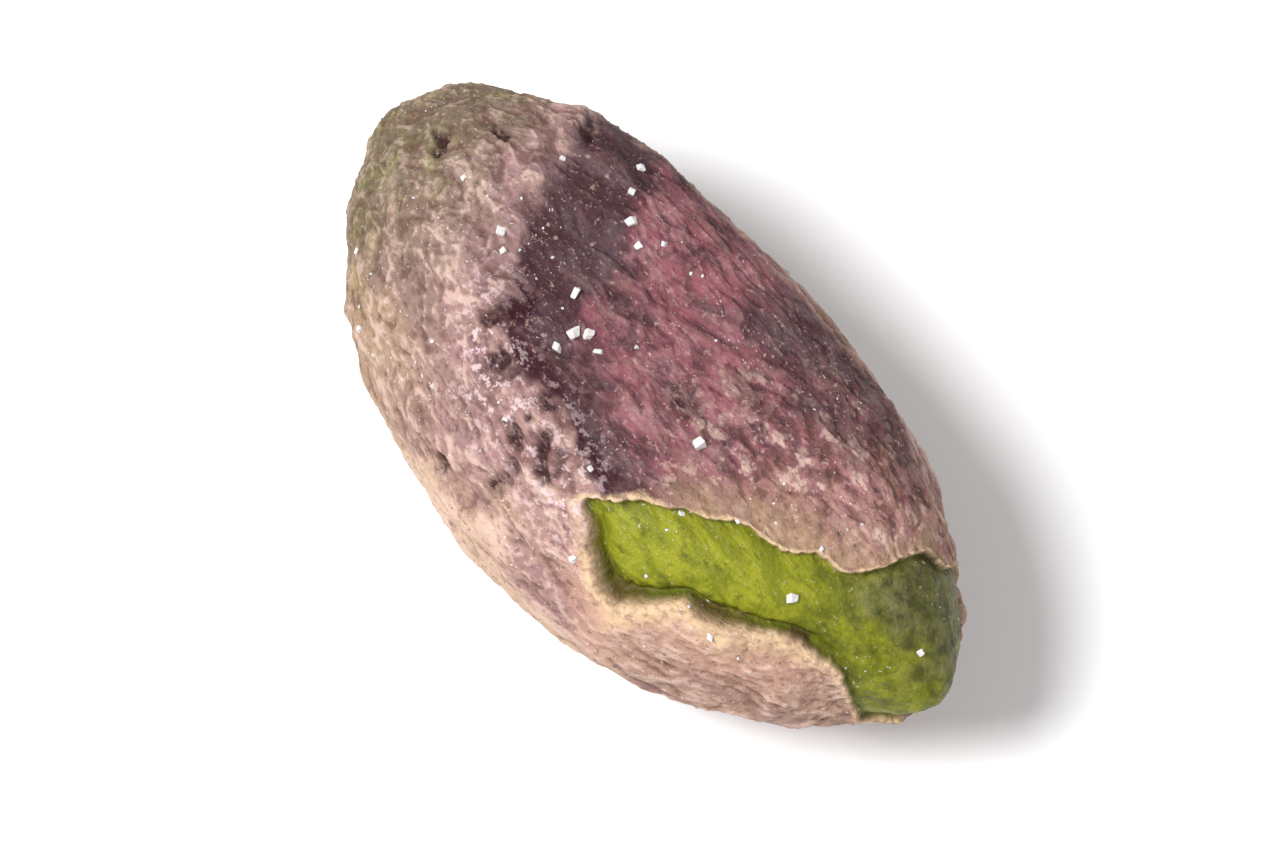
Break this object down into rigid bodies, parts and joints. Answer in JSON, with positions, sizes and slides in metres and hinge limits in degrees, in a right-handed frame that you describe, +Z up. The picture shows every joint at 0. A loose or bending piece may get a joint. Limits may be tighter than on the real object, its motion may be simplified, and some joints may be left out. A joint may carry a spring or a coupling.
{
  "type": "pistachio kernel",
  "caption": "Whole shelled pistachio kernel in its papery skin: an oval seed with a dished face and a torn strip of green flesh, lying on its back.",
  "frame": {"origin": "middle of the small flat spot that the kernel rests on", "axes": "+Z up, +X along the kernel towards its narrower tip, +Y towards its straighter flank"},
  "size_m": [0.0171, 0.0086, 0.0076],
  "materials": {
    "seed_skin": null
  },
  "bodies": {
    "root": {"kernel": "seed_skin"}
  },
  "joints": []
}
